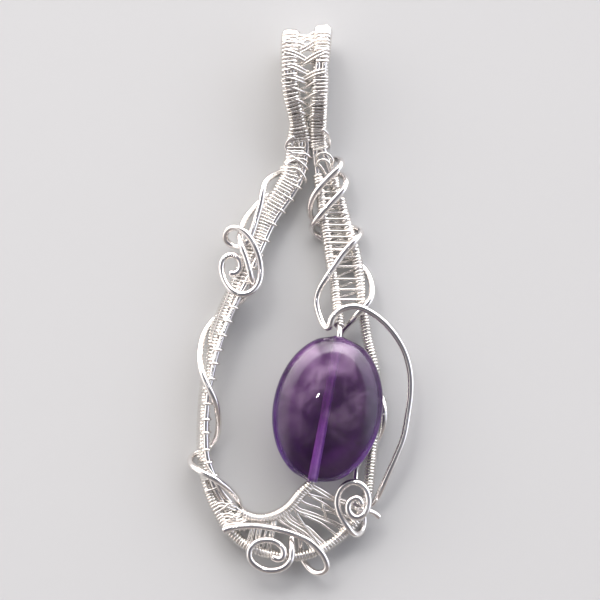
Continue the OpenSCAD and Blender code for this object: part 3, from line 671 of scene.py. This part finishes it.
bail_lacing.build("bail_lacing", WOUND, "wound_wire")


def arm_ladder(shape):
    """Fine wire round both windings of the right arm: level rungs in front and slanting ones behind."""
    left_side = piece_of(inner, INNER_ARM[0], INNER_ARM[-2])
    right_side = piece_of(outer, OUTER_FRAME[14], OUTER_FRAME[-2])
    w = WOUND_R + 0.02

    def at(p, y):
        p = p[np.argsort(p[:, 1])]
        return np.interp(y, p[:, 1], p[:, 0]), np.interp(y, p[:, 1], p[:, 2])

    for y, below in zip(ARM_RUNGS, ARM_RUNGS[1:]):
        (xl, zl), (xr, zr), (xb, zb) = at(left_side, y), at(right_side, y), at(left_side, below)
        strand(
            shape, 1,
            (xl - w, y - 0.05, zl), (xl - 0.7 * w, y, zl + 0.7 * w), (xl, y, zl + w),
            (xl + 0.7 * w, y, zl + 0.85 * w), ((xl + xr) / 2, y, (zl + zr) / 2 + 0.6 * w),
            (xr - 0.7 * w, y, zr + 0.85 * w), (xr, y, zr + w), (xr + 0.7 * w, y - 0.05, zr + 0.7 * w),
            (xr + w, y - 0.15, zr), (xr + 0.7 * w, y - 0.25, zr - 0.7 * w), (xr, y - 0.3, zr - w),
            ((xb + xr) / 2, (y + below) / 2, (zb + zr) / 2 - 0.5 * w),
            (xb, below + 0.15, zb - w), (xb - 0.7 * w, below + 0.1, zb - 0.7 * w), (xb - w, below, zb))
    return shape


arm_ladder(Shape()).build("arm_ladder", WOUND, "wound_wire")

for name, table in (("lower_lacing", FAN), ("corner_weave", CORNER_WEAVE), ("neck_loops", NECK_LOOPS)):
    shape = Shape()
    for number, *rows in table:
        strand(shape, number, *rows)
    shape.build(name, WOUND, "wound_wire")
middle_end = piece_of(middle, (-9.9, -28.1, FRAME_Z), (-7.6, -30.8, FRAME_Z))
winding(Shape(), middle_end, [(0, 0.46), (1, 0.46)], seed=10).build("middle_winding", WOUND, "wound_wire")


# ---------------------------------------------------------------- bead
FACE, EDGE = 2.5, 2.2      # how flat the bead's face is, and how full its edge
BEAD_AROUND, BEAD_ROWS, BORE_ROWS = 96, 60, 12
CUT_AT = 0.985             # share of the half length at which the hole cuts the bead's ends off
CLOSING = 0.8              # share of the way to an end from which the outside closes on the hole
LIP = 0.12                 # how far the hole's worn edge opens
LIP_DEPTH, LIP_STEP = 0.1, 0.05


def bead():
    """A smooth oval bead, a little flatter in the middle, with a round hole along it.
    Returns the shape and the number of faces outside the hole."""
    a = 2 * math.pi * np.arange(BEAD_AROUND) / BEAD_AROUND
    ca, sa = np.cos(a), np.sin(a)
    rings = []
    end = math.asin(CUT_AT)
    for f in np.linspace(-end, end, BEAD_ROWS):
        blend = max(0.0, (abs(f) - CLOSING * end) / ((1 - CLOSING) * end)) ** 2
        x = BEAD_HALF[0] * math.cos(f) * ca
        out = np.sqrt((x / BEAD_HALF[0]) ** 2 + math.sin(f) ** 2).clip(0, 1)
        z = BEAD_HALF[2] * (1 - out ** FACE) ** (1 / EDGE) * np.sign(sa)
        x = x * (1 - blend) + ((HOLE_R + LIP) * ca - HOLE_SHIFT) * blend
        z = z * (1 - blend) + (HOLE_R + LIP) * sa * blend
        rings.append(np.stack([x, np.full(BEAD_AROUND, BEAD_HALF[1] * math.sin(f)), z], axis=1))
    tip = BEAD_HALF[1] * math.sin(end)
    bore_rows = [(y, HOLE_R) for y in np.linspace(tip - LIP_DEPTH, LIP_DEPTH - tip, BORE_ROWS)]
    lip_r = HOLE_R + 0.4 * LIP
    for y, r in [(tip + LIP_STEP, lip_r), *bore_rows, (-tip - LIP_STEP, lip_r)]:
        rings.append(np.stack([-HOLE_SHIFT + r * ca, np.full(BEAD_AROUND, y), r * sa], axis=1))
    v = np.vstack(rings)
    c, s = math.cos(BEAD_LEAN), math.sin(BEAD_LEAN)
    v = np.stack([v[:, 0] * c + v[:, 1] * s, -v[:, 0] * s + v[:, 1] * c, v[:, 2]], axis=1) + BEAD_AT
    faces = []
    for i in range(len(rings)):
        here, there = i * BEAD_AROUND, (i + 1) % len(rings) * BEAD_AROUND
        for j in range(BEAD_AROUND):
            k = (j + 1) % BEAD_AROUND
            faces.append([here + j, there + j, there + k, here + k])
    shape = Shape()
    shape.add(v, faces)
    return shape, BEAD_ROWS * BEAD_AROUND


QUARTZ_IOR = 1.54
STONE_HALF = 9.5           # half the height over which the bead's painted bottom shade, its milkiness and the hole's paleness change


def down_stone(tree, y):
    """0 at the bottom of the bead and 1 at its top."""
    return mapped(tree, y, (BEAD_AT[1] - STONE_HALF) * MM, (BEAD_AT[1] + STONE_HALF) * MM)


def amethyst():
    """Purple stone, deeper at the back, with clouds and paler veils, and with painted shade that darkens its
    lower part and its rim.
    """
    material, tree, bsdf = shader("polished_amethyst", Roughness=0.03, IOR=QUARTZ_IOR)
    place = add_node(tree, "TexCoord").outputs["Object"]
    split = add_node(tree, "SeparateXYZ", [("Vector", place)])
    depth = mapped(tree, split.outputs["Z"], (BEAD_AT[2] - 1.2) * MM, (BEAD_AT[2] + 1.0) * MM)
    along = down_stone(tree, split.outputs["Y"])
    clouds = add_node(tree, "TexNoise", [("Vector", place)], Scale=260.0, Detail=6.0, Distortion=0.5)
    cloud = clouds.outputs["Fac"]
    front = ramp_node(tree, cloud, (0.36, (0.66, 0.36, 0.74)), (0.68, (0.92, 0.64, 0.94)))
    back = ramp_node(tree, cloud, (0.35, (0.16, 0.03, 0.21)), (0.72, (0.44, 0.13, 0.50)))
    # Painted shade: the back's colour darkens towards the bottom of the bead, away from the light
    bottom_shade = ramp_node(tree, along, (0.0, (0.03, 0.02, 0.08)), (0.45, (0.50, 0.38, 0.56)), (0.8, (1, 1, 1)))
    mix = add_node(tree, "Mix", [(FACTOR, depth), (FIRST, tinted(tree, back, bottom_shade)), (SECOND, front)],
                   data_type="RGBA")
    # Painted shade: the colour darkens where the surface turns steep towards the rim
    normal = add_node(tree, "TexCoord").outputs["Normal"]
    facing = add_node(tree, "SeparateXYZ", [("Vector", normal)]).outputs["Z"]
    edge = add_node(tree, "Math", [(0, facing)], operation="ABSOLUTE").outputs[0]
    rim_shade = ramp_node(tree, edge, (0.0, (0.10, 0.04, 0.16)), (0.85, (1, 1, 1)), (0.55, (0.42, 0.22, 0.54)))
    tree.links.new(tinted(tree, mix.outputs[RESULT], rim_shade), bsdf.inputs["Base Color"])
    # Milky in the clouds, and more so towards the top
    haze = mapped(tree, cloud, 0.42, 0.72, 0.04, 0.24)
    share = mapped(tree, along, 0.25, 0.8, 0.1, 1.0)
    clear = add_node(tree, "Math", [(1, product(tree, haze, share))], operation="SUBTRACT")
    clear.inputs[0].default_value = 1.0
    tree.links.new(clear.outputs[0], bsdf.inputs["Transmission Weight"])
    # Polished in front, and softer behind, so that the wires there show only as a blur
    tree.links.new(mapped(tree, depth, 0.0, 1.0, 0.28, 0.03), bsdf.inputs["Roughness"])
    stone = add_node(tree, "VolumeAbsorption", Color=(0.62, 0.29, 0.72, 1), Density=290.0)
    tree.links.new(stone.outputs["Volume"], tree.nodes["Material Output"].inputs["Volume"])
    return material


def bore():
    """The ground, unpolished wall of the hole: pale near the bottom, deeper above, and streaked along."""
    material, tree, bsdf = shader("ground_bore", Roughness=0.6, IOR=QUARTZ_IOR)
    place = add_node(tree, "TexCoord").outputs["Object"]
    along = down_stone(tree, add_node(tree, "SeparateXYZ", [("Vector", place)]).outputs["Y"])
    grain = add_node(tree, "TexNoise", [("Vector", place)], Scale=900.0, Detail=2.0).outputs["Fac"]
    pale = ramp_node(tree, along, (0.05, (0.90, 1.0, 1.0)), (0.34, (0.90, 0.95, 0.90)),
                     (0.48, (0.40, 0.32, 0.40)), (0.95, (0.24, 0.15, 0.26)))
    rough = ramp_node(tree, grain, (0.3, (0.82, 0.80, 0.84)), (0.7, (1, 1, 1)))
    c, s = math.cos(BEAD_LEAN), math.sin(BEAD_LEAN)
    middle = hole_mid[0] * c - hole_mid[1] * s
    across = mapped(tree, cosine(tree, place, (c, -s, 0)), (middle - HOLE_R) * MM, (middle + HOLE_R) * MM)
    streak = ramp_node(tree, across, (0.0, (0.90, 0.65, 0.90)), (0.25, (0.60, 0.46, 0.68)),
                       (0.5, (0.70, 0.60, 0.80)), (0.62, (1, 1, 1)), (0.72, (0.95, 0.95, 1)),
                       (0.84, (0.58, 0.50, 0.76)), (1.0, (0.75, 0.65, 0.88)))
    tree.links.new(tinted(tree, tinted(tree, pale, rough), streak), bsdf.inputs["Base Color"])
    return material


bead_shape, outside = bead()
bead_piece = bead_shape.build("oval_bead", amethyst(), "bead", "bead")
bead_piece.data.materials.append(bore())
for face in bead_piece.data.polygons[outside:]:
    face.material_index = 1

# ---------------------------------------------------------------- stage
FLOOR_SIZE = 3
bpy.ops.mesh.primitive_plane_add(size=FLOOR_SIZE)
floor = bpy.context.object
floor.name = "floor"
floor_material, _, floor_bsdf = shader("pale_floor", Roughness=0.75)
floor_bsdf.inputs["Base Color"].default_value = (0.48, 0.48, 0.475, 1)
floor.data.materials.append(floor_material)

world = bpy.data.worlds.new("soft_studio")
bpy.context.scene.world = world
world.use_nodes = True
tree = world.node_tree
SOFT = {"interpolation_type": "SMOOTHSTEP"}
ray = add_node(tree, "TexCoord").outputs["Generated"]
towards = add_node(tree, "SeparateXYZ", [("Vector", ray)])
up = towards.outputs["Z"]
total = ramp_node(tree, up, (0.0, (0.60, 0.56, 0.52)), (1.0, (0.22, 0.22, 0.26)), (0.3, (0.84, 0.79, 0.75)),
                  (0.70, (0.76, 0.74, 0.74)), (0.84, (0.28, 0.28, 0.32)))
# Darker towards the foot of the pendant
lit = mapped(tree, towards.outputs["Y"], -0.8, 0.0)
total = tinted(tree, total, ramp_node(tree, lit, (0.0, (0.34, 0.32, 0.33)), (1.0, (1, 1, 1))))
low_sky = mapped(tree, up, 0.76, 0.68, **SOFT)

# Soft light from the sides of the sky: direction, its cosine where it begins and where it is full, colour
PATCHES = [
    ((-0.1, 1, 0), 0.15, 0.75, (4.8, 4.6, 4.6)),
    ((0.12, 1, 0.75), 0.93, 0.99, (4.0, 4.0, 4.0)),
    ((1, 0.4, 0), 0.4, 0.85, (1.4, 1.55, 1.9)),
    ((-1, 0.1, 0), 0.55, 0.92, (1.4, 1.32, 1.3)),
    ((0, -1, 0), 0.45, 0.9, (0.12, 0.1, 0.09)),
]
for direction, begins, full, colour in PATCHES:
    towards_patch = cosine(tree, ray, tuple(unit(np.array(direction, float))))
    share = product(tree, mapped(tree, towards_patch, begins, full, **SOFT), low_sky)
    add = add_node(tree, "Mix", [(FACTOR, share), (FIRST, total)], data_type="RGBA", blend_type="ADD")
    add.inputs[SECOND].default_value = (*colour, 1)
    total = add.outputs[RESULT]
tree.links.new(total, tree.nodes["Background"].inputs["Color"])
tree.nodes["Background"].inputs["Strength"].default_value = 0.8


def softbox(name, at, size, power, glossy=True):
    """A square light that points at the middle of the scene: place and size in metres, power in watts."""
    light = bpy.data.lights.new(name, "AREA")
    light.shape, light.size, light.energy = "SQUARE", size, power
    lamp = bpy.data.objects.new(name, light)
    bpy.context.scene.collection.objects.link(lamp)
    lamp.location = at
    lamp.rotation_euler = (-Vector(at)).to_track_quat("-Z", "Y").to_euler()
    lamp.visible_glossy = glossy


softbox("key", (-0.12, 0.26, 0.30), 0.10, 0.35, glossy=False)
softbox("spark", (-0.033, 0.002, 0.33), 0.009, 0.03)

LENS, SENSOR = 100.0, 36.0      # millimetres
FIELD = 0.081                   # the photo's width at the height of the frame wires, in metres
camera = bpy.data.objects.new("camera", bpy.data.cameras.new("camera"))
bpy.context.scene.collection.objects.link(camera)
camera.data.lens, camera.data.sensor_width = LENS, SENSOR
camera.location = (0, 0.00027, 0.003 + FIELD * LENS / SENSOR)
camera.data.clip_start, camera.data.clip_end = 0.01, 5
bpy.context.scene.camera = camera
bpy.context.scene.view_settings.view_transform = "Standard"
